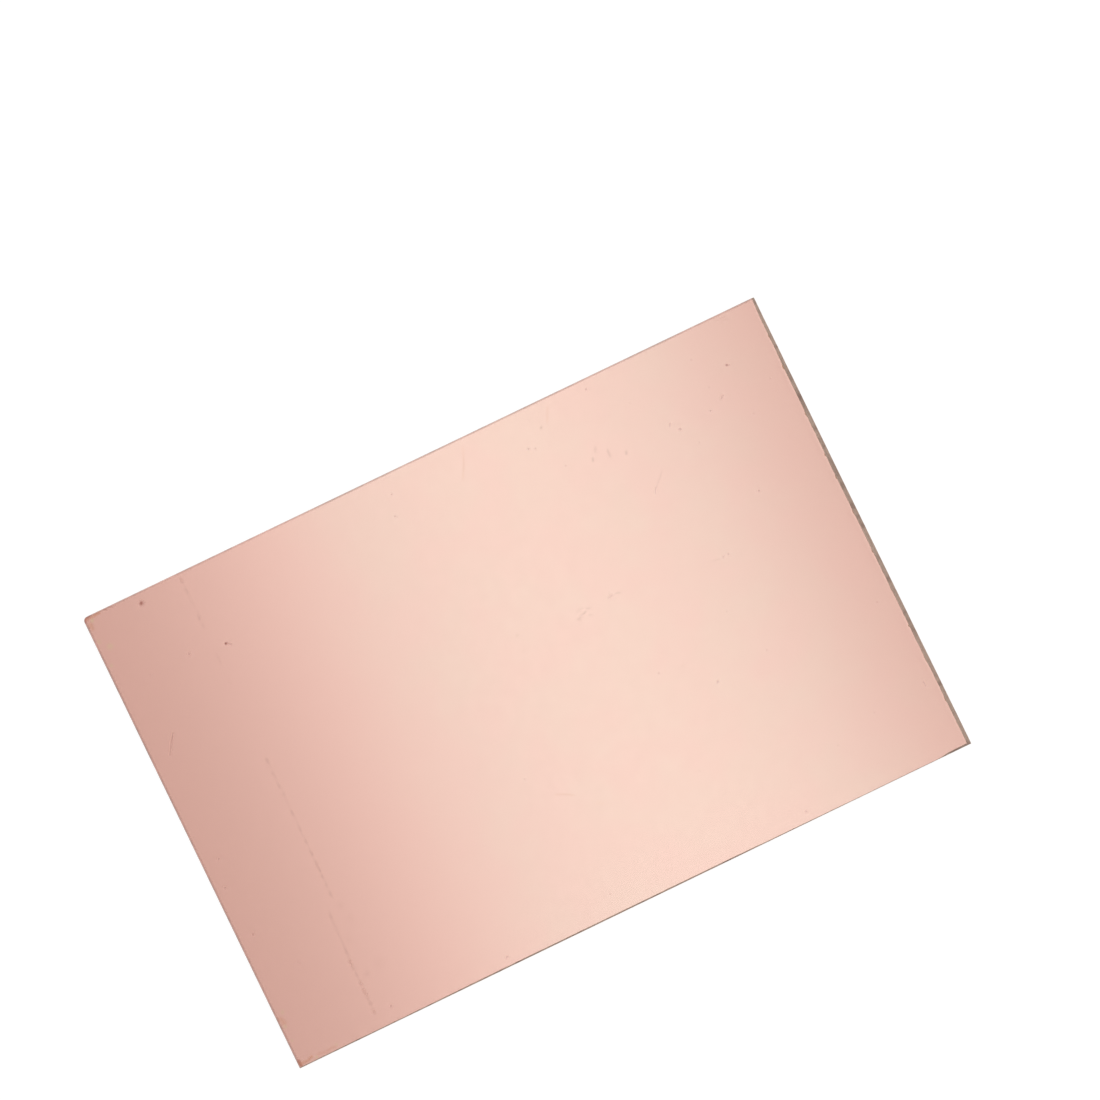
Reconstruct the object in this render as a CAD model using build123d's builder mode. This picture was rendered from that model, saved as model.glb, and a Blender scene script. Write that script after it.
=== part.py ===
"""Single-sided copper clad board, a loose sheet of raw stock 150 x 100 mm.

A brown phenolic paper laminate carries a copper foil bonded over its whole upper face.
The stock was pressed as one large panel and guillotined, so all four edges are cuts through
both pieces at once.  Each cut leaves a rolled edge on one side of the knife and a torn edge
on the other, and the board has one pair of them across its length and one across its width.

Frame: millimetres, +Z up.  The origin is on the resting face, at the middle of the footprint.
+X runs along the long side and +Y along the short side.  The foil is the upper face.
"""
import os

from build123d import *

# Stock sizes
board_length = 150.0  # along X, between the outermost lines of the end cuts
board_width = 100.0  # along Y, between the outermost lines of the side cuts
board_thickness = 1.5  # laminate and foil together
foil_thickness = 0.035  # one ounce of copper per square foot

# Rolled edges, at -X and +Y: the knife dragged the face down before it cut
roll_width = 0.25  # how far in from the edge the face starts to bend
roll_drop = 0.08  # how far the edge line has sunk
rolled_land = 0.40  # height of the smooth, upright band below the bend
end_undercut = 0.45  # how far the tear recedes under the face at -X
side_undercut = 0.18  # the same at +Y

# Torn edges, at +X and -Y: the tear starts at the foil and leans out to the resting face.
# Each tear line has points of how far along the cut, as a share, and how far the foil stops
# short of the board's outline there.  The cuts start at the -Y corner and at the -X corner.
end_tear_line = (
    (0.000, 0.92),
    (0.150, 0.91),
    (0.240, 1.01),
    (0.262, 0.97),
    (0.420, 1.02),
    (0.650, 1.05),
    (0.665, 1.01),
    (0.740, 0.97),
    (0.755, 0.92),
    (0.850, 0.91),
    (0.885, 0.79),
    (0.955, 0.78),
    (1.000, 0.60),
)
end_tear_lean = 38.0  # degrees between the torn face and the upright
side_tear_line = (
    (0.000, 0.18),
    (0.170, 0.20),
    (0.300, 0.28),
    (0.640, 0.26),
    (0.700, 0.16),
    (0.800, 0.14),
    (0.820, 0.10),
    (0.955, 0.10),
    (0.965, 0.36),
    (1.000, 0.40),
)
side_tear_lean = 17.0  # degrees between that torn face and the upright

# Damage
bruise_radius = 0.85  # blunted corner at -X +Y
# Nicks torn out of the foil along +X: distance from the -Y outline, length along Y, depth in X
foil_nicks = (
    (10.4, 1.6, 0.16),
    (19.6, 2.6, 0.13),
    (26.8, 0.9, 0.20),
    (35.2, 2.0, 0.12),
    (43.6, 1.2, 0.16),
    (52.4, 2.2, 0.12),
    (60.2, 1.4, 0.18),
    (65.1, 0.7, 0.22),
    (74.5, 2.4, 0.12),
    (84.8, 1.5, 0.20),
    (91.7, 1.1, 0.14),
)
nick_skew = 0.30  # where along its length a nick is deepest, counted from its -Y end

# Room that a cutting shape has past the stock
overrun = 3.0

half_length = board_length / 2
half_width = board_width / 2
bond_height = board_thickness - foil_thickness

# Sections are drawn with the rolled edge on the left and the torn edge on the right
across_length = Plane.XZ
across_width = Plane(origin=(0, 0, 0), x_dir=(0, -1, 0), z_dir=(-1, 0, 0))


def pressed_section(plane, half_span, undercut):
    """Section of the stock between two cuts, before its face tears away on the right."""
    bend_start = (-half_span + roll_width, board_thickness)
    edge_line = (-half_span, board_thickness - roll_drop)
    land_end = (-half_span, edge_line[1] - rolled_land)
    back_bend_start = (half_span - roll_width, 0)
    back_edge_line = (half_span, roll_drop)
    with BuildSketch(plane) as section:
        with BuildLine():
            TangentArc(bend_start, edge_line, tangent=(-1, 0))
            Polyline(edge_line, land_end, (-half_span + undercut, 0), back_bend_start)
            TangentArc(back_bend_start, back_edge_line, tangent=(1, 0))
            Polyline(back_edge_line, (half_span, board_thickness), bend_start)
        make_face()
    return section.sketch


def bond_section(plane, half_span):
    """Section of all that lies below the foil: level, then bending down with the rolled edge."""
    bend_start = (-half_span + roll_width, bond_height)
    edge_line = (-half_span, bond_height - roll_drop)
    far = half_span + overrun
    with BuildSketch(plane) as section:
        with BuildLine():
            bend = TangentArc(bend_start, edge_line, tangent=(-1, 0))
            run_out = bend @ 1 + (bend % 1) * overrun
            Polyline(edge_line, run_out, (run_out.X, -overrun), (far, -overrun), (far, bond_height), bend_start)
        make_face()
    return section.sketch


def between(line, share):
    """How far the foil stops short at this share of the way along a tear line."""
    for (start, start_depth), (end, end_depth) in zip(line, line[1:]):
        if share <= end:
            return start_depth + (end_depth - start_depth) * (share - start) / (end - start)
    return line[-1][1]


def foil_edge_x(y):
    """Where the foil ends along the torn edge at +X."""
    return half_length - between(end_tear_line, (y + half_width) / board_width)


lengthwise_section = pressed_section(across_length, half_length, end_undercut)
widthwise_section = pressed_section(across_width, half_width, side_undercut)
lengthwise_bond = bond_section(across_length, half_length)
widthwise_bond = bond_section(across_width, half_width)

# What tore away at +X: its inner side follows the tear line at the face and leans out below
with BuildPart() as end_tear:
    with BuildSketch(Plane.XY.offset(board_thickness)):
        edge = [(half_length - depth, board_width * share - half_width) for share, depth in end_tear_line]
        with BuildLine():
            Polyline(
                (half_length + overrun, -half_width - overrun),
                (edge[0][0], -half_width - overrun),
                *edge,
                (edge[-1][0], half_width + overrun),
                (half_length + overrun, half_width + overrun),
                close=True,
            )
        make_face()
    extrude(amount=board_thickness, dir=(0, 0, -1), taper=end_tear_lean)

# What tore away at -Y, in the same way
with BuildPart() as side_tear:
    with BuildSketch(Plane.XY.offset(board_thickness)):
        edge = [(board_length * share - half_length, depth - half_width) for share, depth in side_tear_line]
        with BuildLine():
            Polyline(
                (-half_length - overrun, -half_width - overrun),
                (-half_length - overrun, edge[0][1]),
                *edge,
                (half_length + overrun, edge[-1][1]),
                (half_length + overrun, -half_width - overrun),
                close=True,
            )
        make_face()
    extrude(amount=board_thickness, dir=(0, 0, -1), taper=side_tear_lean)

# The clad stock as it left the guillotine, foil and laminate in one block
with BuildPart() as clad_blank:
    extrude(lengthwise_section, amount=half_width + overrun, both=True)
    extrude(widthwise_section, amount=half_length + overrun, both=True, mode=Mode.INTERSECT)
    add(end_tear.part, mode=Mode.SUBTRACT)
    add(side_tear.part, mode=Mode.SUBTRACT)
    with BuildSketch(Plane.XY.offset(-overrun)):
        with Locations((-half_length + bruise_radius, half_width - bruise_radius)):
            Rectangle(bruise_radius + overrun, bruise_radius + overrun, align=(Align.MAX, Align.MIN))
            Circle(bruise_radius, mode=Mode.SUBTRACT)
    extrude(amount=board_thickness + 2 * overrun, mode=Mode.SUBTRACT)

# Everything below the bond line, reaching past the stock on all sides
with BuildPart() as below_bond:
    extrude(lengthwise_bond, amount=half_width + overrun, both=True)
    extrude(widthwise_bond, amount=half_length + overrun, both=True, mode=Mode.INTERSECT)

# The laminate: the blank up to the bond line
with BuildPart() as laminate_base:
    add(clad_blank.part)
    add(below_bond.part, mode=Mode.INTERSECT)

# The foil: what is left above the bond line, nicked along the torn edge
with BuildPart() as copper_foil:
    add(clad_blank.part)
    add(below_bond.part, mode=Mode.SUBTRACT)
    with BuildSketch(Plane.XY.offset(bond_height)):
        for distance, nick_length, nick_depth in foil_nicks:
            nick_start = distance - half_width - nick_length / 2
            nick_end = nick_start + nick_length
            deepest = nick_start + nick_skew * nick_length
            with BuildLine():
                Polyline(
                    (half_length + overrun, nick_start),
                    (foil_edge_x(nick_start), nick_start),
                    (foil_edge_x(deepest) - nick_depth, deepest),
                    (foil_edge_x(nick_end), nick_end),
                    (half_length + overrun, nick_end),
                    close=True,
                )
            make_face()
    extrude(amount=foil_thickness + overrun, mode=Mode.SUBTRACT)

os.makedirs("parts", exist_ok=True)
laminate_base.part.label = "laminate_base"
export_step(laminate_base.part, "parts/laminate_base.step")
copper_foil.part.label = "copper_foil"
export_step(copper_foil.part, "parts/copper_foil.step")
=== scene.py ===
"""Looks of a single-sided copper clad board, a loose sheet of raw stock.

Lengths are in millimetres while a piece is shaped, and each finished mesh is scaled to metres.
X runs along the long side, Y along the short side, and the copper faces up.
"""
import math
import random

import bmesh
import bpy
from mathutils import Matrix, Vector, noise
from mathutils.kdtree import KDTree


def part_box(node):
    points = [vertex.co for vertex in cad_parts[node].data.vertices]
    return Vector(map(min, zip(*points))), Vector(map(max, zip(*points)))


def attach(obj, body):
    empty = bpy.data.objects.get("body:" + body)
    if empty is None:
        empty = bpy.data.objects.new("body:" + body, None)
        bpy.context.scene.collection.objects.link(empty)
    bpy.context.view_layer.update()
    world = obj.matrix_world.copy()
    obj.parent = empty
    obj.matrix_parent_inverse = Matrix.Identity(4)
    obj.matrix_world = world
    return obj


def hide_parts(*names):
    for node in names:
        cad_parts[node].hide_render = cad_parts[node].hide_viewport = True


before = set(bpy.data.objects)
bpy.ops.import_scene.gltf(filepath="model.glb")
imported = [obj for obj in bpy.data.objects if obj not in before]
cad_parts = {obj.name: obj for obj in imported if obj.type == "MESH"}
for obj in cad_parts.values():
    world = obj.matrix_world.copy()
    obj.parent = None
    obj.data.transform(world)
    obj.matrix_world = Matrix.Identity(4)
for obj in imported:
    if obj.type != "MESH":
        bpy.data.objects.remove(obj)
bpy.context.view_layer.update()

MM = 0.001

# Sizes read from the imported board
laminate_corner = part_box("laminate_base")[1] / MM
foil_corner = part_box("copper_foil")[1] / MM
half_length = laminate_corner.x
half_width = laminate_corner.y
board_top = foil_corner.z
bond_height = laminate_corner.z
foil_thickness = board_top - bond_height

# Rolled edges at -X and +Y, as the board was made
roll_width = 0.25
roll_drop = 0.08
roll_radius = (roll_width**2 + roll_drop**2) / (2 * roll_drop)
rolled_land = 0.40
rolled_land_end = board_top - roll_drop - rolled_land
end_undercut = 0.45
side_undercut = 0.18

# Blunted corner at -X +Y: its radius, how deep its tip has sunk and how far that reaches
bruise_radius = 0.85
bruise_sink = 0.07
bruise_reach = 1.4

# Torn edges at +X and -Y: share of the way along the cut, and how far the foil stops short
end_tear_line = (
    (0.000, 0.92),
    (0.150, 0.91),
    (0.240, 1.01),
    (0.262, 0.97),
    (0.420, 1.02),
    (0.650, 1.05),
    (0.665, 1.01),
    (0.740, 0.97),
    (0.755, 0.92),
    (0.850, 0.91),
    (0.885, 0.79),
    (0.955, 0.78),
    (1.000, 0.60),
)
end_tear_slope = math.tan(math.radians(38.0))
side_tear_line = (
    (0.000, 0.18),
    (0.170, 0.20),
    (0.300, 0.28),
    (0.640, 0.26),
    (0.700, 0.16),
    (0.800, 0.14),
    (0.820, 0.10),
    (0.955, 0.10),
    (0.965, 0.36),
    (1.000, 0.40),
)
side_tear_slope = math.tan(math.radians(17.0))

# Nicks torn out of the foil along +X: distance from the -Y outline, length along Y, depth in X
foil_nicks = (
    (10.4, 1.6, 0.16),
    (19.6, 2.6, 0.13),
    (26.8, 0.9, 0.20),
    (35.2, 2.0, 0.12),
    (43.6, 1.2, 0.16),
    (52.4, 2.2, 0.12),
    (60.2, 1.4, 0.18),
    (65.1, 0.7, 0.22),
    (74.5, 2.4, 0.12),
    (84.8, 1.5, 0.20),
    (91.7, 1.1, 0.14),
)
nick_skew = 0.30  # where along its length a nick is deepest, counted from its -Y end

# Ragged metal along the foil's edge: how far it strays, and over what length
end_rags = ((0.050, 0.90), (0.030, 0.32))
side_rags = ((0.030, 1.30), (0.018, 0.35))
knife_rags = ((0.012, 0.80),)
knife_inset = 0.010

# Lip that the tear pulled up along the foil's edge, and the shallow dip behind it
lip_height = 0.006
lip_rise = 0.35
lip_fall = 1.6
lip_length = 2.5
lip_variation = 0.9
end_lip_share = 0.55
side_lip_share = 0.70

# Waviness of the copper face: broad and close
broad_wave = 0.0006
broad_wave_length = 16.0
close_wave = 0.0002
close_wave_length = 5.0

# Laminate: sheets of paper pressed together, each of which tears back on its own
ply_height = bond_height / 9
ply_wander = 0.12
ply_wander_length = 1.7
step_depth = 0.085
step_length = 2.4
step_shift = 5.0  # how far apart in the noise two plies lie
fray_depth = 0.045
fray_length = 0.55
fray_stretch = 4.0
torn_from = 0.05  # how far inside the outline a cut face has to lie to be torn all over

# Lines that the knife drew on the smooth cuts
knife_line_depth = 0.010
knife_line_spacing = 0.45

# Painted shade along the rolled edges: how far in it reaches and how much of the metal it hides
edge_shade_reach = 0.50
end_shade_share = 0.58
side_shade_share = 0.48
edge_shade_waves = ((0.35, 1.4), (0.25, 6.0))  # how much it varies, and over what length

# Dirt in the tears: streaks of two lengths; and painted shade near the +X -Y corner, a dark stripe and a
# fainter tip, with the lengths over which they come and go
tear_streaks = ((0.36, 1.5), (0.22, 5.0))
streak_gain = 1.6
stripe_start = 69.8
stripe_rise = 0.8
stripe_end = 72.7
stripe_fall = 0.5
stripe_share = 0.42
tip_rise = 1.2
tip_share = 0.30

# Marks on the copper.  Each has the layer it colours, its points in mm, its radius about them,
# its strength and how deep it is pressed into the metal.
skin_layers = ("rub", "straw", "tarnish", "dirt_and_shade", "grime")
marks = []
speck_depth = 0.010
drip_radius = 0.50
drip_strength = 0.32
drip_sway = 0.12
drip_sway_length = 2.0
straw_gain = 2.8

# Shares of a mark's radius: how far apart its discs are laid, how far out they are looked for,
# and how unevenly they end
disc_spacing = 0.7
disc_reach = 1.5
disc_unevenness = 0.45
disc_wobble_length = 0.9

# The sheet is split for a mark to this share of its radius, as far out as the next one says, and
# a share of a cell further
split_fineness = 0.6
split_reach = 1.3
split_margin = 0.75

# Places along X, in metres, between which the copper gets a painted shade, darker and redder towards its
# ends, and a painted pink tint between, where the overhead highlight falls off
shade_to_start = (-0.015, -0.080)
shade_to_end = (0.045, 0.085)
shade_end_share = 0.70
band_rising = (-0.085, -0.050)
band_falling = (-0.010, -0.045)

# Colours of the copper: two of the bare metal, then what lies over it
bare_pink = (0.915, 0.612, 0.530)
bare_gold = (0.900, 0.626, 0.534)
dull_patch = (0.860, 0.570, 0.490)
rolling_line = (0.800, 0.500, 0.420)
dark_fleck = (0.45, 0.28, 0.22)
# a painted pink tint, for the hue the copper takes where the overhead highlight falls off
painted_pink_tint = (0.965, 0.610, 0.530)
# painted shade: the darker, redder copper towards the ends, where the overhead highlight falls off
end_shade_copper = (0.866, 0.516, 0.438)
rubbed_copper = (0.760, 0.380, 0.250)
straw_stain = (0.805, 0.575, 0.390)
tarnish_stain = (0.540, 0.262, 0.192)
# painted shade on the rolled edges, where they turn down
edge_shade_colour = (0.150, 0.124, 0.114)
dark_grime = (0.270, 0.066, 0.047)

# Colours of the laminate: the resin, the torn paper, and the dirt caught in it, which near the +X -Y
# corner is painted shade
resin_brown = (0.350, 0.172, 0.090)
resin_tan = (0.430, 0.226, 0.128)
resin_fibre = (0.470, 0.262, 0.155)
resin_fleck = (0.230, 0.105, 0.055)
ply_shade = (0.345, 0.226, 0.172)
ply_light = (0.540, 0.392, 0.310)
torn_fibre = (0.600, 0.462, 0.372)
torn_patch = (0.40, 0.31, 0.25)
# dirt in the tears, and painted shade beside the +X -Y corner
caught_dirt_and_shade = (0.085, 0.028, 0.024)

# Finishes: roughness, and the height in metres of the fine lines and fibres
copper_roughness = 0.253
copper_line_height = 0.0000002
laminate_roughness = 0.40
laminate_fibre_height = 0.00002
fleck_sharpness = 14.0

# Meshes
foil_cell = 2.5
smallest_split = 0.1  # cells below this size aren't split
border_bands = {2.5: 5.0, 1.25: 2.6, 0.625: 1.5, 0.3125: 0.70}  # cell size: how far in it is split
long_edge = 0.7  # share of a cell past which an edge is split
crowd_reach = 6 * foil_cell / 16  # six of the border's own cells
crowd_power = 1.6
wall_cell = 0.30
wall_rows = 28
top_insets = (0.08, 0.16, 0.25, 1.2)
back_insets = (0.05, 0.11, 0.18, 0.25, 1.2)
underside_inset = 0.5
underside_end_inset = 1.5
underside_side_inset = 1.0
blend_reach = 3.0  # how far in a cut moves the cells behind it
whole_edge = 0.9  # an edge of the plain box reaches at least this far along its axis
on_outline = 0.0001
merge_distance = 0.0004

# How far apart in the noise two seeds lie
seed_shifts = (17.3, 9.1, 5.7)

# Camera: high above the board, leaning a little to -X and -Y, with the board askew in the frame
camera_aim = Vector((15.5, 21.8, board_top))
camera_lean = Vector((-0.083, -0.055, 1.0))
camera_distance = 2000.0
camera_turn = math.radians(-25.67)
lens_per_sensor = 9.050
sensor_width = 36.0
nearest_seen = 0.01
farthest_seen = 20

# Surroundings: pale walls under a dimmer, warmer ceiling
wall_colour = (1.0, 1.0, 1.0)
ceiling_colour = (0.560, 0.512, 0.504)
wall_top = 0.20
ceiling_edge = 0.85

# Lamps: places and sizes in metres
overhead_place = (0.063, -0.035, 0.62)
overhead_turn = (0, 0, math.radians(-1.0))
overhead_size = (0.12, 0.50)
overhead_watts = 0.173
overhead_colour = (0.81, 1.0, 1.0)
fill_places = (
    ("right", (1.0, -0.1, 1.3)),
    ("front", (0.1, -1.0, 1.3)),
    ("left", (-1.0, 0.1, 1.3)),
    ("back", (-0.1, 1.0, 1.3)),
)
fill_size = (1.2, 1.2)
fill_watts = 2.4
fill_colour = (1, 1, 1)

# Floor: its reach in metres, its grey under the lamps, and how bright it looks
floor_reach = 4.0
floor_colour = (0.20, 0.20, 0.20, 1)
floor_roughness = 0.9
floor_glow = 0.88


def smooth(value):
    """Eases a share from 0 to 1."""
    value = min(1.0, max(0.0, value))
    return value * value * (3 - 2 * value)


def wobble(across, along, scale, seed):
    """Seeded noise between about -1 and 1 that changes over the given length in mm."""
    over, down, up = seed_shifts
    return noise.noise(Vector((across / scale + seed * over, along / scale - seed * down, seed * up)))


def waver(waves, across, along, seed):
    """A sum of wobbles, each given by how much it sways and over what length."""
    seeded = enumerate(waves, seed)
    return sum(sway * wobble(across, along, length, own_seed) for own_seed, (sway, length) in seeded)


def between(line, share):
    """How far the foil stops short at this share of the way along a tear line."""
    for (start, start_depth), (end, end_depth) in zip(line, line[1:]):
        if share <= end:
            return start_depth + (end_depth - start_depth) * (share - start) / (end - start)
    return line[-1][1]


def bend(inset):
    """How far a rolled face has sunk at this distance inside the outline."""
    reach = min(roll_width, max(0.0, roll_width - inset))
    return roll_radius - math.sqrt(roll_radius**2 - reach**2)


def corner_place(x, y):
    """How far a point lies past the middle of the bruised corner, towards -X and +Y."""
    return -half_length + bruise_radius - x, y - half_width + bruise_radius


def blunt(x, y):
    """Rounds the bruised corner at -X +Y."""
    past_x, past_y = corner_place(x, y)
    if past_x <= 0 or past_y <= 0:
        return x, y
    shrink = max(past_x, past_y) / math.hypot(past_x, past_y)
    return x + past_x * (1 - shrink), y - past_y * (1 - shrink)


def face_drop(x, y):
    """How far the upper face has sunk along the rolled edges and at the bruised corner."""
    past_x, past_y = corner_place(x, y)
    if past_x > 0 and past_y > 0:
        drop = bend(bruise_radius - math.hypot(past_x, past_y))
    else:
        drop = max(bend(half_length + x), bend(half_width - y))
    from_corner = math.hypot(half_length + x, half_width - y)
    return drop + bruise_sink * (1 - smooth(from_corner / bruise_reach))


def back_drop(x, y):
    """How far the resting face is lifted along its own rolled edges, at +X and -Y."""
    return max(bend(half_length - x), bend(half_width + y))


def cut_depths(x, y, z):
    """How far the board stops short of its outline at this height, at +X, -X, -Y and +Y."""
    sunk = board_top - z
    under = max(0.0, rolled_land_end - z) / rolled_land_end
    end_depth = between(end_tear_line, (y + half_width) / (2 * half_width))
    side_depth = between(side_tear_line, (x + half_length) / (2 * half_length))
    return (
        max(0.0, end_depth - sunk * end_tear_slope),
        end_undercut * under,
        max(0.0, side_depth - sunk * side_tear_slope),
        side_undercut * under,
    )


def cut_point(x, y, depths):
    """Where a point of the plain rectangle lies on the cut board."""
    at_plus_x, at_minus_x, at_minus_y, at_plus_y = depths
    fade_plus_x = 1 - smooth((half_length - x) / blend_reach)
    fade_minus_x = 1 - smooth((half_length + x) / blend_reach)
    fade_minus_y = 1 - smooth((half_width + y) / blend_reach)
    fade_plus_y = 1 - smooth((half_width - y) / blend_reach)
    moved_x = x - at_plus_x * fade_plus_x + at_minus_x * fade_minus_x
    moved_y = y + at_minus_y * fade_minus_y - at_plus_y * fade_plus_y
    return moved_x, moved_y


def nick_depth(y):
    """How deep the foil is nicked along +X."""
    depth = 0.0
    for distance, length, deepest in foil_nicks:
        share = (y + half_width - distance) / length + 0.5
        if 0 < share < nick_skew:
            depth = deepest * smooth(share / nick_skew)
        elif nick_skew <= share < 1:
            depth = deepest * smooth((1 - share) / (1 - nick_skew))
    return depth


def foil_depths(x, y):
    """Where the foil ends: its tear lines, nicks and ragged metal."""
    end_depth, _, side_depth, _ = cut_depths(x, y, board_top)
    at_plus_x = end_depth + nick_depth(y) + waver(end_rags, 0, y, 3)
    at_minus_y = side_depth + waver(side_rags, x, 0, 5)
    at_knife = knife_inset + waver(knife_rags, x, y, 7)
    return at_plus_x, at_knife, at_minus_y, at_knife


def torn_relief(run, z, seed):
    """A torn face: each ply lets go at its own depth, and its fibres stand out."""
    ply = math.floor(z / ply_height + ply_wander * wobble(run, 0, ply_wander_length, seed + 2))
    step = step_depth * wobble(run, ply * step_shift, step_length, seed)
    fray = fray_depth * wobble(run, z * fray_stretch, fray_length, seed + 1)
    return step + fray


def knife_relief(run, seed):
    """A cut land: faint upright lines that the knife drew."""
    return knife_line_depth * (0.5 + wobble(run, 0, knife_line_spacing, seed))


def laminate_depths(x, y, z):
    """Where the laminate ends at this height, with the relief of each cut, and how torn it is."""
    plain = cut_depths(x, y, z)
    runs = (y, y, x, x)
    depths = []
    torn = []
    for side, (depth, run) in enumerate(zip(plain, runs)):
        rough = smooth(depth / torn_from)
        relief = rough * torn_relief(run, z, 11 + 7 * side) + (1 - rough) * knife_relief(run, 41 + side)
        depths.append(max(0.0, depth + relief))
        torn.append(rough)
    return depths, torn


def finish_mesh(mesh_edit, name, body, material, replaced):
    """Turns a shaped bmesh in mm into a finished piece in metres that rides on the body."""
    bmesh.ops.recalc_face_normals(mesh_edit, faces=mesh_edit.faces)
    bmesh.ops.scale(mesh_edit, vec=(MM, MM, MM), verts=mesh_edit.verts)
    for face in mesh_edit.faces:
        face.smooth = True
    mesh = bpy.data.meshes.new(name)
    mesh_edit.to_mesh(mesh)
    mesh_edit.free()
    piece = bpy.data.objects.new(name, mesh)
    bpy.context.scene.collection.objects.link(piece)
    piece.data.materials.append(material)
    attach(piece, body)
    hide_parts(replaced)


def add_mark(layer, points, radius, strength, depth=0.0):
    """Notes down a mark, to be laid on the sheet once that is fine enough."""
    marks.append((layer, [Vector((x, y, 0)) for x, y in points], radius, strength, depth))


def along_mark(points, radius):
    """Places along a mark, close enough that their discs overlap."""
    yield points[0]
    for start, end in zip(points, points[1:]):
        steps = max(1, math.ceil((end - start).length / (disc_spacing * radius)))
        for step in range(1, steps + 1):
            yield start.lerp(end, step / steps)


def list_specks():
    """Dark specks: the plain ones one by one, and a scatter of faint ones of about one size."""
    # X, Y, radius and strength
    plain_specks = (
        (-63.1, 47.7, 0.70, 1.00),
        (-51.4, 33.1, 0.42, 1.00),
        (-53.2, -46.7, 0.40, 0.38),
        (64.0, 40.0, 0.38, 0.62),
        (64.4, 39.8, 0.26, 0.28),
        (49.8, 32.4, 0.42, 0.26),
        (58.7, 14.3, 0.42, 0.20),
        (46.4, 5.5, 0.42, 0.15),
        (47.5, 5.5, 0.30, 0.22),
        (34.3, -16.7, 0.42, 0.19),
        (34.7, -16.3, 0.28, 0.10),
        (-58.9, 34.4, 0.42, 0.32),
        (-71.5, -5.2, 0.42, 0.18),
        (-72.8, -11.0, 0.36, 0.32),
        (-71.8, -21.8, 0.44, 0.42),
        (-28.0, -48.0, 0.42, 0.22),
        (20.5, 42.0, 0.44, 0.17),
        (36.2, 47.8, 0.40, 0.22),
        (38.9, -47.9, 0.46, 0.16),
    )
    for x, y, radius, strength in plain_specks:
        add_mark("grime", [(x, y)], radius, strength, speck_depth * strength)
    add_mark("grime", [(60.0, 34.4), (60.6, 34.8)], 0.36, 0.19, 0.002)
    add_mark("grime", [(48.2, 33.9), (48.5, 34.3)], 0.28, 0.19, 0.002)
    add_mark("grime", [(49.2, 33.8), (50.5, 33.3)], 0.34, 0.04)
    add_mark("grime", [(-51.1, 32.9), (-50.5, 32.5)], 0.24, 0.34, 0.003)
    add_mark("grime", [(37.9, 33.1), (37.9, 32.6)], 0.46, 0.08)
    add_mark("grime", [(44.0, 5.6), (45.4, 5.4)], 0.26, 0.05)
    add_mark("grime", [(71.7, -35.6), (71.7, -34.5)], 0.24, 0.14, 0.001)

    faint_specks = (
        (-67.8, 33.8), (-66.0, -31.0), (-9.6, 41.4), (-9.2, 41.0), (-8.3, 45.7), (-11.2, 15.5),
        (-1.8, -6.8), (-9.3, -17.5), (-22.2, -36.3), (-3.8, -45.7), (1.8, 5.8), (2.0, 9.2),
        (10.2, 3.2), (12.7, -15.3), (13.2, -30.2), (21.8, 41.5), (25.8, 35.7), (25.3, 13.8),
        (23.2, -31.3), (24.3, -10.0), (26.7, -6.5), (32.2, -35.2), (36.0, -46.3), (42.2, -4.7),
        (43.0, 41.5), (44.0, -19.5), (46.0, -15.2), (50.5, -38.7), (52.1, 28.3), (54.9, 32.7),
        (56.9, 33.1), (58.0, 44.0), (58.8, 37.5), (59.0, -42.8), (60.0, -36.0), (60.2, 20.7),
        (64.6, 28.8), (69.3, 21.7), (70.3, -16.2), (70.7, 33.8),
    )
    sizes = random.Random(5)
    for x, y in faint_specks:
        add_mark("grime", [(x, y)], sizes.uniform(0.28, 0.46), sizes.uniform(0.08, 0.13), 0.001)


def list_scratches():
    """Scratches and scuffs that the metal shows as fine darker lines."""
    add_mark("grime", [(-68.7, 21.5), (-69.9, 19.9), (-71.2, 17.8)], 0.14, 0.50, 0.006)
    add_mark("grime", [(-69.2, 20.8), (-70.4, 18.4)], 0.13, 0.34, 0.004)
    add_mark("grime", [(40.3, 23.9), (39.9, 23.4), (39.5, 22.7)], 0.15, 0.14, 0.003)
    add_mark("grime", [(42.8, 26.3), (41.6, 25.1), (40.3, 23.9)], 0.26, 0.06, 0.001)
    add_mark("grime", [(14.5, 6.8), (15.4, 7.2), (16.5, 7.5)], 0.40, 0.08)
    add_mark("grime", [(14.7, 6.3), (15.2, 6.6)], 0.40, 0.03)
    add_mark("grime", [(14.8, 8.1), (15.7, 8.5), (16.4, 8.4)], 0.28, 0.04)
    add_mark("grime", [(17.0, 8.0), (17.6, 7.8)], 0.36, 0.06)
    add_mark("grime", [(16.8, 6.6), (17.4, 6.4)], 0.36, 0.04)
    add_mark("grime", [(21.9, 8.0), (22.5, 8.2), (22.9, 8.2)], 0.36, 0.11)
    add_mark("grime", [(22.4, 9.0), (22.5, 8.5)], 0.26, 0.06)
    add_mark("grime", [(23.6, 8.3), (24.5, 7.9)], 0.28, 0.09)
    add_mark("grime", [(22.3, 7.3), (23.2, 7.4)], 0.28, 0.04)
    add_mark("grime", [(66.2, 48.9), (68.2, 48.9)], 0.20, 0.10, 0.001)
    add_mark("grime", [(67.2, 48.5), (68.3, 48.2)], 0.18, 0.10, 0.001)
    add_mark("grime", [(31.4, 34.7), (31.2, 34.3)], 0.44, 0.07)
    add_mark("grime", [(32.7, 36.4), (32.4, 35.7)], 0.48, 0.05)
    add_mark("grime", [(34.8, 34.9), (34.7, 33.7)], 0.46, 0.06)


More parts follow.
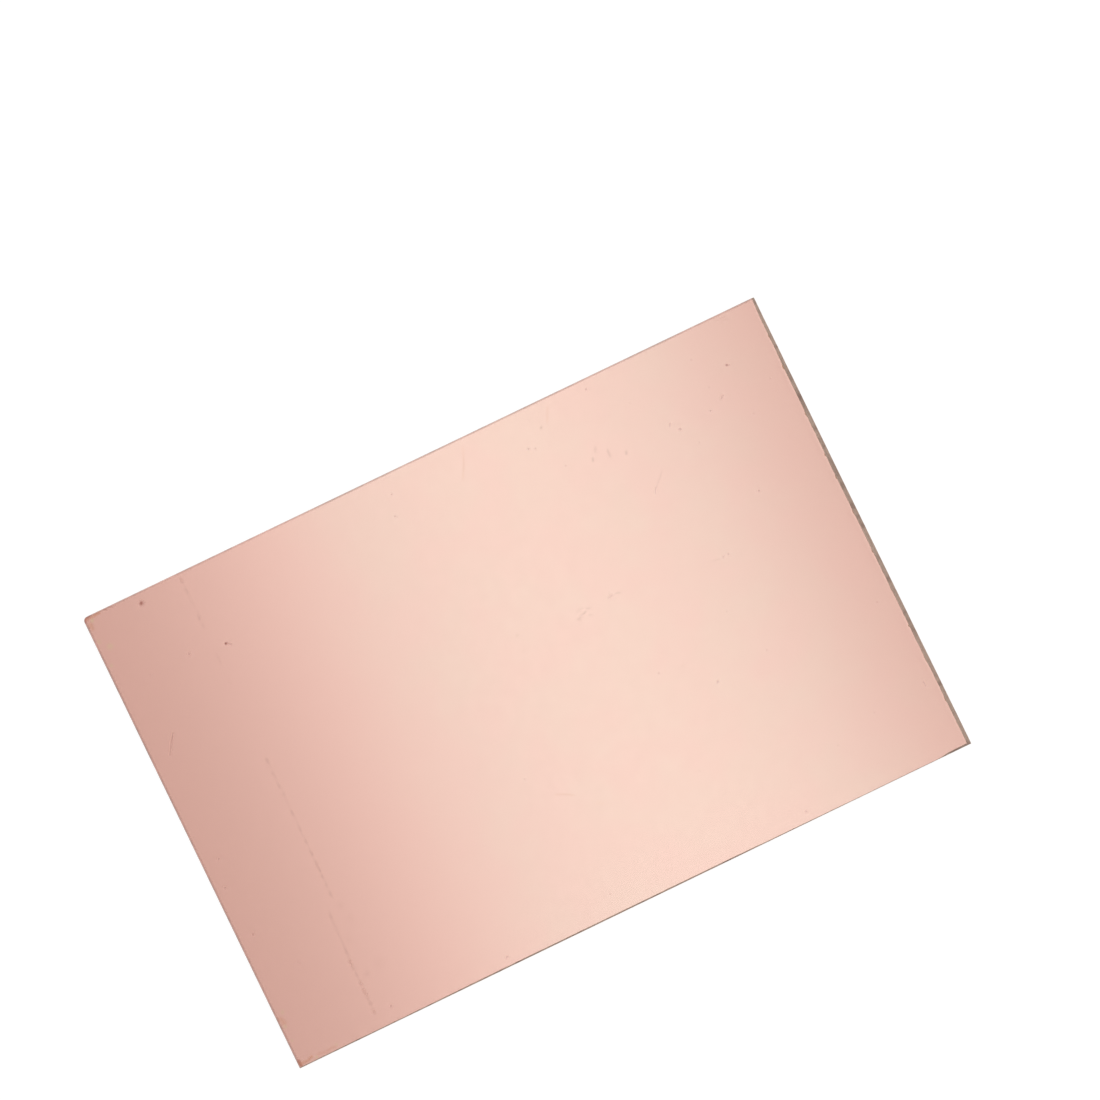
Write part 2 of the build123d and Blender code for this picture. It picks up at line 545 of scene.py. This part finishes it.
def list_tarnish():
    """Tarnish that dried in drips along one line across the board, and a faint cloud by it."""
    # X, upper and lower end, and strength
    dashes = (
        (-53.8, 48.8, 48.0, 0.80),
        (-53.8, 46.2, 45.7, 0.35),
        (-53.9, 40.4, 39.7, 0.40),
        (-53.9, 38.4, 38.0, 0.30),
        (-54.0, 32.2, 30.0, 0.35),
        (-54.0, 26.3, 25.7, 0.30),
        (-54.1, 23.5, 23.3, 0.25),
        (-54.1, 8.5, 7.9, 0.50),
        (-54.2, 5.6, 5.0, 0.25),
        (-54.2, 2.9, 2.5, 0.35),
        (-54.2, 0.9, 0.5, 0.35),
        (-54.2, -3.0, -3.6, 0.45),
        (-54.2, -6.7, -7.3, 0.45),
        (-54.2, -9.5, -9.9, 0.50),
        (-54.2, -12.0, -12.6, 0.75),
        (-54.2, -14.0, -16.3, 0.70),
        (-54.3, -17.3, -17.7, 0.50),
        (-54.3, -19.1, -19.5, 0.45),
        (-54.4, -21.0, -21.6, 0.45),
        (-56.2, -25.0, -25.6, 0.45),
        (-56.5, -32.7, -33.3, 0.45),
        (-56.7, -35.0, -36.7, 1.10),
        (-56.7, -37.8, -38.2, 0.70),
        (-56.7, -39.7, -40.3, 0.85),
        (-56.7, -41.3, -43.3, 0.95),
        (-56.7, -44.1, -44.5, 0.50),
        (-56.8, -46.1, -46.5, 0.75),
    )
    for x, top, bottom, strength in dashes:
        middle = (top + bottom) / 2
        sway = drip_sway * wobble(x, middle, drip_sway_length, 21)
        points = [(x, top), (x + sway, middle), (x, bottom)]
        add_mark("tarnish", points, drip_radius, drip_strength * strength)
    # X, Y, radius and strength
    clouds = (
        (-53.3, -24.3, 1.3, 0.09),
        (-52.8, -27.3, 1.1, 0.11),
        (-54.8, -31.2, 1.2, 0.11),
        (-51.7, -38.0, 1.6, 0.08),
        (-54.8, -38.8, 1.0, 0.16),
        (29.5, -10.7, 0.6, 0.10),
        (24.7, 44.8, 0.4, 0.18),
        (57.2, -24.0, 0.6, 0.09),
    )
    for x, y, radius, strength in clouds:
        add_mark("tarnish", [(x, y)], radius, strength)
    add_mark("tarnish", [(-53.9, 48.5), (-54.0, 37.0)], 0.60, 0.04)
    add_mark("tarnish", [(-54.1, 9.0), (-54.2, -22.0)], 0.60, 0.05)
    add_mark("tarnish", [(-56.2, -24.6), (-56.8, -47.0)], 0.65, 0.09)


def list_rubs():
    """Reddish smears across the face."""
    add_mark("rub", [(8.7, 48.0), (7.6, 45.2), (6.0, 42.3)], 0.35, 0.16)
    add_mark("rub", [(27.7, 48.0), (26.3, 45.3)], 0.35, 0.16)
    add_mark("rub", [(-5.0, -23.0), (-3.4, -23.6), (-1.7, -24.7)], 0.25, 0.18)
    add_mark("rub", [(1.7, -28.0), (3.0, -28.8)], 0.25, 0.18)


def list_corner_marks():
    """Wear at the two corners of the -X end, and the tan spots between them."""
    add_mark("rub", [(-74.3, 49.5), (-73.2, 49.5), (-71.6, 49.6)], 0.60, 0.90)
    add_mark("rub", [(-74.2, 48.2), (-74.1, 47.3)], 0.75, 0.75)
    add_mark("rub", [(-74.6, -48.8), (-74.5, -49.5)], 0.65, 1.00)
    add_mark("rub", [(-74.2, -49.2), (-73.0, -49.3), (-71.9, -48.9)], 0.50, 0.80)
    add_mark("rub", [(-70.4, -49.0), (-68.9, -49.3), (-66.9, -49.1)], 0.50, 0.40)
    add_mark("rub", [(-74.2, -39.4), (-73.9, -40.5)], 0.80, 0.60)
    add_mark("grime", [(-74.9, 49.0), (-74.6, 49.6), (-73.4, 49.9)], 0.42, 0.60)
    add_mark("grime", [(-74.6, -48.6), (-74.5, -49.6)], 0.65, 0.55)
    add_mark("grime", [(-74.0, -49.4), (-72.9, -49.4), (-72.0, -49.0)], 0.22, 0.20)
    for x, y, strength in ((-71.9, 49.6, 0.25), (-70.2, 49.7, 0.50), (-68.8, 49.6, 0.36)):
        add_mark("grime", [(x - 0.2, y + 0.1), (x + 0.2, y - 0.1)], 0.26, strength)
    # X, Y, radius and strength
    tan_spots = (
        (-73.4, 48.8, 0.60, 0.38),
        (-74.1, 44.4, 0.60, 0.32),
        (-72.5, 42.6, 0.95, 0.30),
        (-73.9, 39.0, 0.50, 0.30),
        (-73.3, -38.4, 0.65, 0.28),
        (-74.0, -41.2, 0.60, 0.26),
        (-74.0, -44.4, 0.40, 0.24),
        (-71.0, -49.4, 0.40, 0.34),
        (-66.3, -48.9, 0.40, 0.28),
    )
    for x, y, radius, strength in tan_spots:
        add_mark("straw", [(x, y)], radius, min(1.0, straw_gain * strength))


def refine_foil(sheet):
    """Splits the faces near the marks and the border until they are fine enough."""
    cell = foil_cell
    while cell > smallest_split:
        faces = list(sheet.faces)
        centres = [face.calc_center_median() for face in faces]
        tree = KDTree(len(faces))
        for index, centre in enumerate(centres):
            tree.insert(centre, index)
        tree.balance()
        chosen = set()
        for _, points, radius, _, _ in marks:
            if cell > split_fineness * radius:
                for place in along_mark(points, radius):
                    near = tree.find_range(place, split_reach * radius + split_margin * cell)
                    chosen.update(index for _, index, _ in near)
        band = border_bands.get(cell, 0)
        for index, centre in enumerate(centres):
            if min(half_length - abs(centre.x), half_width - abs(centre.y)) < band:
                chosen.add(index)
        wanted = {edge for index in chosen for edge in faces[index].edges}
        long_ones = [edge for edge in sheet.edges if edge.calc_length() > long_edge * cell]
        split = [edge for edge in long_ones if edge in wanted]
        bmesh.ops.subdivide_edges(sheet, edges=split, cuts=1, use_grid_fill=True)
        cell /= 2


def crowd(inset):
    """Draws the cells of the border together, so that the roll has enough of them."""
    if inset >= crowd_reach:
        return inset
    return crowd_reach * (inset / crowd_reach) ** crowd_power


def crowd_border(x, y):
    """Draws a point of the sheet towards the nearer of its borders on each axis."""
    crowded_x = math.copysign(half_length - crowd(half_length - abs(x)), x)
    crowded_y = math.copysign(half_width - crowd(half_width - abs(y)), y)
    return crowded_x, crowded_y


def lip_dip(inset):
    """The shallow dip behind the lip that the tear pulled up along the foil's edge."""
    return lip_height * smooth(inset / lip_rise) * (1 - smooth((inset - lip_rise) / lip_fall))


def foil_height(x, y, plain_x, plain_y):
    """The upper face of the foil: level but for its rolled edges, torn lips and a trace of waviness."""
    broad = broad_wave * (1 + wobble(x, y, broad_wave_length, 31))
    close = close_wave * (1 + wobble(x, y, close_wave_length, 32))
    end_share = end_lip_share + lip_variation * wobble(0, y, lip_length, 33)
    side_share = side_lip_share + lip_variation * wobble(x, 0, lip_length, 34)
    end_dip = max(0.0, lip_dip(half_length - plain_x) * end_share)
    side_dip = max(0.0, lip_dip(half_width + plain_y) * side_share)
    return board_top - face_drop(x, y) - (broad + close) - end_dip - side_dip


def press_marks(sheet, layers):
    """Writes each mark into its layer and presses it into the metal."""
    sheet.verts.ensure_lookup_table()
    tree = KDTree(len(sheet.verts))
    for vert in sheet.verts:
        tree.insert((vert.co.x, vert.co.y, 0), vert.index)
    tree.balance()
    for number, (layer, points, radius, strength, depth) in enumerate(marks):
        nearest = {}
        for place in along_mark(points, radius):
            for _, index, distance in tree.find_range(place, disc_reach * radius):
                nearest[index] = min(distance, nearest.get(index, distance))
        for index, distance in nearest.items():
            vert = sheet.verts[index]
            rim = wobble(vert.co.x, vert.co.y, disc_wobble_length * radius, number)
            uneven = 1 + disc_unevenness * rim
            share = 1 - smooth(distance * uneven / radius)
            vert[layers[layer]] = 1 - (1 - vert[layers[layer]]) * (1 - strength * share)
            vert.co.z -= depth * share


def edge_shade(x, y):
    """How much painted shade darkens the rolled edges, uneven along them."""
    at_end = end_shade_share * (1 - smooth((half_length + x) / edge_shade_reach))
    at_side = side_shade_share * (1 - smooth((half_width - y) / edge_shade_reach))
    return max(at_end, at_side) * (1 + waver(edge_shade_waves, x, y, 51))


def crease(edges):
    """Keeps the faces that meet at these edges from being shaded as one."""
    for edge in edges:
        edge.smooth = False


def extrude_rim(solid, rim):
    """Extrudes an open rim, and returns the new rim and the points on it."""
    made = bmesh.ops.extrude_edge_only(solid, edges=rim)["geom"]
    rim = [item for item in made if isinstance(item, bmesh.types.BMEdge) and item.is_boundary]
    return rim, {vert for edge in rim for vert in edge.verts}


def close_foil(sheet):
    """Gives the foil its thickness: a rim all round and a level underside."""
    rim = [edge for edge in sheet.edges if edge.is_boundary]
    crease(rim)
    rim, lower_ring = extrude_rim(sheet, rim)
    for vert in lower_ring:
        vert.co.z -= foil_thickness
    crease(rim)
    rim, inner_ring = extrude_rim(sheet, rim)
    for vert in inner_ring:
        x = min(half_length - underside_end_inset, max(-half_length + underside_inset, vert.co.x))
        y = min(half_width - underside_inset, max(-half_width + underside_side_inset, vert.co.y))
        vert.co = (x, y, bond_height)
    crease(rim)
    bmesh.ops.contextual_create(sheet, geom=rim)


def make_copper_skin(material):
    """The foil: a flat sheet with its cut outline, rolled edges and marks."""
    sheet = bmesh.new()
    columns = round(2 * half_length / foil_cell)
    rows = round(2 * half_width / foil_cell)
    bmesh.ops.create_grid(sheet, x_segments=columns, y_segments=rows, size=1.0)
    bmesh.ops.scale(sheet, vec=(half_length, half_width, 1), verts=sheet.verts)
    refine_foil(sheet)
    layers = {name: sheet.verts.layers.float.new(name) for name in skin_layers}
    for vert in sheet.verts:
        plain_x, plain_y = blunt(*crowd_border(vert.co.x, vert.co.y))
        x, y = cut_point(plain_x, plain_y, foil_depths(plain_x, plain_y))
        vert.co = (x, y, foil_height(x, y, plain_x, plain_y))
        # painted shade along the rolled edges
        vert[layers["dirt_and_shade"]] = edge_shade(plain_x, plain_y)
    press_marks(sheet, layers)
    close_foil(sheet)
    bmesh.ops.remove_doubles(sheet, verts=sheet.verts, dist=merge_distance)
    finish_mesh(sheet, "copper_skin", "root", material, "copper_foil")


def dirt_and_shade_in_tears(x, y):
    """Dirt caught in the tears, as faint streaks, and painted shade beside the corner at +X -Y, as a
    dark stripe and a fainter tip.
    """
    stripe = smooth((x - stripe_start) / stripe_rise) * (1 - smooth((x - stripe_end) / stripe_fall))
    tip = smooth((x - stripe_end) / tip_rise)
    near_corner = (1 - smooth(half_width + y)) * max(stripe_share * stripe, tip_share * tip)
    streaks = 0
    for seed, (share, length) in enumerate(tear_streaks, 61):
        streaks += share * smooth(streak_gain * wobble(x, y, length, seed))
    return max(streaks, near_corner)


def ring_of(solid, rim, inset, height_at, torn):
    """Carries an open rim of the core inwards, and returns the new rim."""
    plain_x, plain_y = solid.verts.layers.float["plain_x"], solid.verts.layers.float["plain_y"]
    rim, ring = extrude_rim(solid, rim)
    for vert in ring:
        x = min(half_length - inset, max(-half_length + inset, vert[plain_x]))
        y = min(half_width - inset, max(-half_width + inset, vert[plain_y]))
        vert[torn] = 0.0
        x, y = blunt(x, y)
        depths, _ = laminate_depths(x, y, height_at(x, y))
        x, y = cut_point(x, y, depths)
        vert.co = (x, y, height_at(x, y))
    return rim


def bond_at(x, y):
    """Height of the bond that the foil lies on."""
    return bond_height - face_drop(x, y)


def make_laminate_core(material):
    """The laminate: four cut walls in fine cells, closed by a level top and back."""
    core = bmesh.new()
    bmesh.ops.create_cube(core, size=1.0)
    bmesh.ops.scale(core, vec=(2 * half_length, 2 * half_width, 1), verts=core.verts)
    bmesh.ops.translate(core, vec=(0, 0, 0.5), verts=core.verts)
    lids = [face for face in core.faces if abs(face.normal.z) > 0.5]
    bmesh.ops.delete(core, geom=lids, context="FACES_ONLY")
    columns, rows = round(2 * half_length / wall_cell), round(2 * half_width / wall_cell)
    for axis, cells in enumerate((columns, rows, wall_rows)):
        lengths = ((edge, abs(edge.verts[0].co[axis] - edge.verts[1].co[axis])) for edge in core.edges)
        edges = [edge for edge, length in lengths if length > whole_edge]
        bmesh.ops.subdivide_edges(core, edges=edges, cuts=cells - 1, use_grid_fill=True)
    plain_x = core.verts.layers.float.new("plain_x")
    plain_y = core.verts.layers.float.new("plain_y")
    torn = core.verts.layers.float.new("torn")
    dirt_and_shade = core.verts.layers.float.new("dirt_and_shade")
    for vert in core.verts:
        x, y, share = vert.co
        vert[plain_x], vert[plain_y] = x, y
        x, y = blunt(x, y)
        low = back_drop(x, y)
        z = low + share * (bond_at(x, y) - low)
        depths, tornness = laminate_depths(x, y, z)
        insets = (half_length - x, half_length + x, half_width + y, half_width - y)
        torn_here = [rough for rough, inset in zip(tornness, insets) if abs(inset) < on_outline]
        vert[torn] = max(torn_here, default=0.0)
        # dirt in the tears, and painted shade beside the +X -Y corner
        vert[dirt_and_shade] = dirt_and_shade_in_tears(x, y)
        x, y = cut_point(x, y, depths)
        vert.co = (x, y, z)
    open_edges = [edge for edge in core.edges if edge.is_boundary]
    crease(open_edges)
    top_rim = [edge for edge in open_edges if edge.verts[0].co.z > board_top / 2]
    back_rim = [edge for edge in open_edges if edge.verts[0].co.z < board_top / 2]
    for inset in top_insets:
        top_rim = ring_of(core, top_rim, inset, bond_at, torn)
    for inset in back_insets:
        back_rim = ring_of(core, back_rim, inset, back_drop, torn)
    bmesh.ops.contextual_create(core, geom=top_rim)
    bmesh.ops.contextual_create(core, geom=back_rim)
    bmesh.ops.remove_doubles(core, verts=core.verts, dist=merge_distance)
    finish_mesh(core, "laminate_core", "root", material, "laminate_base")


def new_material(name):
    """A material with nodes, its node tree and its main shader."""
    material = bpy.data.materials.new(name)
    material.use_nodes = True
    return material, material.node_tree, material.node_tree.nodes["Principled BSDF"]


def put(tree, kind, **settings):
    """Adds a node and sets its own settings."""
    made = tree.nodes.new("ShaderNode" + kind)
    for name, value in settings.items():
        setattr(made, name, value)
    return made


def feed(tree, socket, value):
    """Gives a socket a number, a colour or another node's output."""
    if isinstance(value, bpy.types.NodeSocket):
        tree.links.new(value, socket)
    else:
        socket.default_value = value


def math_of(tree, operation, *values):
    """The outcome of a math node on numbers or other nodes' outputs."""
    made = put(tree, "Math", operation=operation)
    for socket, value in zip(made.inputs, values):
        feed(tree, socket, value)
    return made.outputs[0]


def mix_of(tree, amount, first, second):
    """Mixes two colours by an amount."""
    made = put(tree, "Mix", data_type="RGBA")
    feed(tree, made.inputs["Factor"], amount)
    feed(tree, made.inputs["A"], first if isinstance(first, bpy.types.NodeSocket) else (*first, 1))
    feed(tree, made.inputs["B"], second if isinstance(second, bpy.types.NodeSocket) else (*second, 1))
    return made.outputs["Result"]


def share_of(tree, value, share):
    """A value times a plain number."""
    return math_of(tree, "MULTIPLY", value, share)


def coat(tree, colour, coats):
    """Lays colours over a first one, each by its own amount."""
    for amount, over in coats:
        colour = mix_of(tree, amount, colour, over)
    return colour


def add_shares(tree, start, shares):
    """Adds to a number a share of each of several values."""
    for value, share in shares:
        start = math_of(tree, "MULTIPLY_ADD", value, share, start)
    return start


def spread(tree, value, low, high):
    """Stretches a value so that low becomes 0 and high becomes 1."""
    made = put(tree, "MapRange", interpolation_type="SMOOTHSTEP")
    feed(tree, made.inputs["Value"], value)
    made.inputs["From Min"].default_value = low
    made.inputs["From Max"].default_value = high
    return made.outputs["Result"]


def bump_of(tree, height, strength, distance):
    """The normal that a height in the material gives, over a distance in metres."""
    made = put(tree, "Bump")
    made.inputs["Strength"].default_value = strength
    made.inputs["Distance"].default_value = distance
    feed(tree, made.inputs["Height"], height)
    return made.outputs["Normal"]


def layer_of(tree, name):
    """A layer that the mesh carries at its points."""
    return put(tree, "Attribute", attribute_name=name).outputs["Fac"]


def new_group(name, inputs, outputs):
    """A node group with the named sockets, and its two end nodes."""
    tree = bpy.data.node_groups.new(name, "ShaderNodeTree")
    for label, kind in inputs:
        tree.interface.new_socket(name=label, in_out="INPUT", socket_type=kind)
    for label in outputs:
        tree.interface.new_socket(name=label, in_out="OUTPUT", socket_type="NodeSocketFloat")
    return tree, tree.nodes.new("NodeGroupInput"), tree.nodes.new("NodeGroupOutput")


def place_group(tree, group, **values):
    """Places a group in a material; each value goes to the input of that name."""
    made = put(tree, "Group", node_tree=group)
    for name, value in values.items():
        feed(tree, made.inputs[name.replace("_", " ")], value)
    return made


def noise_of(tree, place, scale, detail, roughness=0.5):
    """Soft noise at a place."""
    made = put(tree, "TexNoise")
    feed(tree, made.inputs["Vector"], place)
    feed(tree, made.inputs["Scale"], scale)
    made.inputs["Detail"].default_value = detail
    made.inputs["Roughness"].default_value = roughness
    return made.outputs["Fac"]


def make_grain():
    """Grain: fine lines drawn out along one direction by stretching the place."""
    sockets = (("Place", "NodeSocketVector"), ("Stretch", "NodeSocketVector"))
    tree, start, end = new_group("grain", sockets, ("Lines",))
    stretched = put(tree, "VectorMath", operation="MULTIPLY")
    tree.links.new(start.outputs["Place"], stretched.inputs[0])
    tree.links.new(start.outputs["Stretch"], stretched.inputs[1])
    lines = noise_of(tree, stretched.outputs[0], 1.0, 3.0, 0.6)
    tree.links.new(spread(tree, lines, 0.3, 0.7), end.inputs["Lines"])
    return tree


def make_mottle():
    """Mottle: soft patches of two sizes."""
    sockets = (("Place", "NodeSocketVector"), ("Broad", "NodeSocketFloat"), ("Close", "NodeSocketFloat"))
    tree, start, end = new_group("mottle", sockets, ("Broad", "Close"))
    for label, detail in (("Broad", 2.0), ("Close", 3.0)):
        patches = noise_of(tree, start.outputs["Place"], start.outputs[label], detail)
        tree.links.new(spread(tree, patches, 0.3, 0.7), end.inputs[label])
    return tree


def make_flecks():
    """Flecks: small round dots, of which only a share shows."""
    sockets = (("Place", "NodeSocketVector"), ("Spacing", "NodeSocketFloat"),
               ("Size", "NodeSocketFloat"), ("Share", "NodeSocketFloat"))
    tree, start, end = new_group("flecks", sockets, ("Dots",))
    cells = put(tree, "TexVoronoi")
    tree.links.new(start.outputs["Place"], cells.inputs["Vector"])
    tree.links.new(start.outputs["Spacing"], cells.inputs["Scale"])
    picked = put(tree, "SeparateColor")
    tree.links.new(cells.outputs["Color"], picked.inputs[0])
    shown = math_of(tree, "LESS_THAN", picked.outputs[0], start.outputs["Share"])
    size = math_of(tree, "MULTIPLY", start.outputs["Size"], picked.outputs[1])
    near = math_of(tree, "SUBTRACT", size, cells.outputs["Distance"])
    soft = math_of(tree, "MULTIPLY", near, fleck_sharpness)
    clipped = math_of(tree, "MINIMUM", math_of(tree, "MAXIMUM", soft, 0.0), 1.0)
    tree.links.new(math_of(tree, "MULTIPLY", clipped, shown), end.inputs["Dots"])
    return tree


def along_board(tree, place):
    """The X of a place on the board."""
    parts = put(tree, "SeparateXYZ")
    tree.links.new(place, parts.inputs[0])
    return parts.outputs["X"]


def end_falloff_shade(tree, place):
    """Painted shade: how far the copper is darker and redder towards its -X end, and less so towards the
    other, where the overhead highlight falls off.
    """
    along = along_board(tree, place)
    at_end = share_of(tree, spread(tree, along, *shade_to_end), shade_end_share)
    return math_of(tree, "MAXIMUM", spread(tree, along, *shade_to_start), at_end)


def falloff_pink_tint(tree, place):
    """A painted tint: a faintly pinker band across the copper, some way in from its -X end, where the
    overhead highlight falls off.
    """
    along = along_board(tree, place)
    rising = spread(tree, along, *band_rising)
    return math_of(tree, "MULTIPLY", rising, spread(tree, along, *band_falling))


def make_copper(grain, mottle, flecks):
    """Bare rolled copper: satin, faintly mottled, with tarnish, rubs and grime where they lie, painted
    shade towards its ends and along its rolled edges, and a painted pink tint where the highlight falls
    off.
    """
    material, tree, shader = new_material("copper")
    place = put(tree, "TexCoord").outputs["Object"]
    lines = place_group(tree, grain, Place=place, Stretch=(2600, 120, 400)).outputs["Lines"]
    patches = place_group(tree, mottle, Place=place, Broad=70.0, Close=520.0)
    dots = place_group(tree, flecks, Place=place, Spacing=480.0, Size=0.12, Share=0.10).outputs["Dots"]
    rub, straw, tarnish, dirt_and_shade, grime = (layer_of(tree, name) for name in skin_layers)

    close = patches.outputs["Close"]
    bare = mix_of(tree, patches.outputs["Broad"], bare_pink, bare_gold)
    stained = math_of(tree, "MULTIPLY", tarnish, math_of(tree, "MULTIPLY_ADD", close, 0.5, 0.6))
    colour = coat(tree, bare, (
        (share_of(tree, close, 0.09), dull_patch),
        (share_of(tree, lines, 0.015), rolling_line),
        (share_of(tree, dots, 0.12), dark_fleck),
        # a painted pink tint where the highlight falls off, then painted shade towards the ends
        (falloff_pink_tint(tree, place), painted_pink_tint),
        (end_falloff_shade(tree, place), end_shade_copper),
        (share_of(tree, rub, 0.80), rubbed_copper),
        (straw, straw_stain),
        (stained, tarnish_stain),
        # painted shade along the rolled edges
        (dirt_and_shade, edge_shade_colour),
        (grime, dark_grime),
    ))
    # the painted edge shade also dulls the metal
    metal = add_shares(tree, 1.0, ((dirt_and_shade, -0.60), (grime, -0.40), (stained, -0.12)))
    rough_shares = ((close, 0.005), (lines, 0.004), (stained, 0.06), (grime, 0.20))
    rough = add_shares(tree, copper_roughness, rough_shares)
    tree.links.new(colour, shader.inputs["Base Color"])
    tree.links.new(metal, shader.inputs["Metallic"])
    tree.links.new(rough, shader.inputs["Roughness"])
    tree.links.new(bump_of(tree, lines, 0.5, copper_line_height), shader.inputs["Normal"])
    return material


def make_laminate(grain, mottle, flecks):
    """Phenolic paper: satin resin brown on its back and cut lands, pale and fibrous where torn."""
    material, tree, shader = new_material("phenolic_paper")
    place = put(tree, "TexCoord").outputs["Object"]
    fibres = place_group(tree, grain, Place=place, Stretch=(900, 2600, 2600)).outputs["Lines"]
    plies = place_group(tree, grain, Place=place, Stretch=(160, 160, 7500)).outputs["Lines"]
    patches = place_group(tree, mottle, Place=place, Broad=90.0, Close=900.0)
    dots = place_group(tree, flecks, Place=place, Spacing=700.0, Size=0.3, Share=0.25).outputs["Dots"]
    torn = layer_of(tree, "torn")

    close = patches.outputs["Close"]
    smooth_side = coat(tree, mix_of(tree, close, resin_brown, resin_tan), (
        (share_of(tree, fibres, 0.35), resin_fibre),
        (share_of(tree, dots, 0.35), resin_fleck),
    ))
    torn_side = coat(tree, mix_of(tree, plies, ply_shade, ply_light), (
        (share_of(tree, fibres, 0.4), torn_fibre),
        (share_of(tree, patches.outputs["Broad"], 0.3), torn_patch),
    ))
    # dirt in the tears, and painted shade beside the +X -Y corner
    torn_dirt_and_shade = math_of(tree, "MULTIPLY", layer_of(tree, "dirt_and_shade"), torn)
    colour = coat(tree, smooth_side, ((torn, torn_side), (torn_dirt_and_shade, caught_dirt_and_shade)))
    rough = add_shares(tree, laminate_roughness, ((close, 0.10), (torn, 0.38)))
    height = math_of(tree, "MULTIPLY_ADD", plies, torn, fibres)
    tree.links.new(colour, shader.inputs["Base Color"])
    tree.links.new(rough, shader.inputs["Roughness"])
    tree.links.new(bump_of(tree, height, 0.6, laminate_fibre_height), shader.inputs["Normal"])
    return material


def set_world():
    """Pale walls and a dimmer ceiling, blending into each other by the height of the view."""
    world = bpy.data.worlds.new("pale_room")
    bpy.context.scene.world = world
    world.use_nodes = True
    tree = world.node_tree
    direction = put(tree, "SeparateXYZ")
    tree.links.new(put(tree, "TexCoord").outputs["Generated"], direction.inputs[0])
    upward = spread(tree, direction.outputs["Z"], wall_top, ceiling_edge)
    colour = mix_of(tree, upward, wall_colour, ceiling_colour)
    tree.links.new(colour, tree.nodes["Background"].inputs["Color"])


def add_lamp(name, place, turn, size, watts, colour):
    """A soft rectangular lamp."""
    light = bpy.data.lights.new(name, "AREA")
    light.shape = "RECTANGLE"
    light.size, light.size_y = size
    light.energy = watts
    light.color = colour
    lamp = bpy.data.objects.new(name, light)
    lamp.location = place
    lamp.rotation_euler = turn
    bpy.context.scene.collection.objects.link(lamp)


def add_lamps():
    """A long lamp overhead, whose soft reflection lies across the copper, and a fill for each side."""
    add_lamp("overhead", overhead_place, overhead_turn, overhead_size, overhead_watts, overhead_colour)
    for name, place in fill_places:
        turn = (-Vector(place)).to_track_quat("-Z", "Y").to_euler()
        add_lamp(name, place, turn, fill_size, fill_watts, fill_colour)


def add_camera():
    """The photograph's view."""
    back = camera_lean.normalized()
    place = camera_aim + camera_distance * back
    level = Vector((math.cos(camera_turn), math.sin(camera_turn), 0))
    right = (level - level.dot(back) * back).normalized()
    up = back.cross(right)
    data = bpy.data.cameras.new("camera")
    data.sensor_width = sensor_width
    data.lens = lens_per_sensor * sensor_width
    data.clip_start = nearest_seen
    data.clip_end = farthest_seen
    camera = bpy.data.objects.new("camera", data)
    bpy.context.scene.collection.objects.link(camera)
    turn = Matrix((right, up, back)).transposed()
    camera.matrix_world = Matrix.Translation(place * MM) @ turn.to_4x4()
    bpy.context.scene.camera = camera


def add_floor():
    """A pale floor that looks white and keeps the board's faint shadow."""
    grid = bmesh.new()
    bmesh.ops.create_grid(grid, x_segments=2, y_segments=2, size=floor_reach)
    mesh = bpy.data.meshes.new("floor")
    grid.to_mesh(mesh)
    grid.free()
    floor = bpy.data.objects.new("floor", mesh)
    bpy.context.scene.collection.objects.link(floor)
    material, tree, shader = new_material("floor")
    shader.inputs["Base Color"].default_value = floor_colour
    shader.inputs["Roughness"].default_value = floor_roughness
    shader.inputs["Specular IOR Level"].default_value = 0.0
    shader.inputs["Emission Color"].default_value = (1, 1, 1, 1)
    path = put(tree, "LightPath")
    seen = math_of(tree, "MAXIMUM", path.outputs["Is Camera Ray"], path.outputs["Is Glossy Ray"])
    seen = math_of(tree, "MAXIMUM", seen, path.outputs["Is Transmission Ray"])
    tree.links.new(share_of(tree, seen, floor_glow), shader.inputs["Emission Strength"])
    floor.data.materials.append(material)


set_world()
add_floor()
add_camera()
add_lamps()

list_specks()
list_scratches()
list_tarnish()
list_rubs()
list_corner_marks()
grain, mottle, flecks = make_grain(), make_mottle(), make_flecks()
make_copper_skin(make_copper(grain, mottle, flecks))
make_laminate_core(make_laminate(grain, mottle, flecks))

bpy.context.scene.view_settings.view_transform = "Standard"
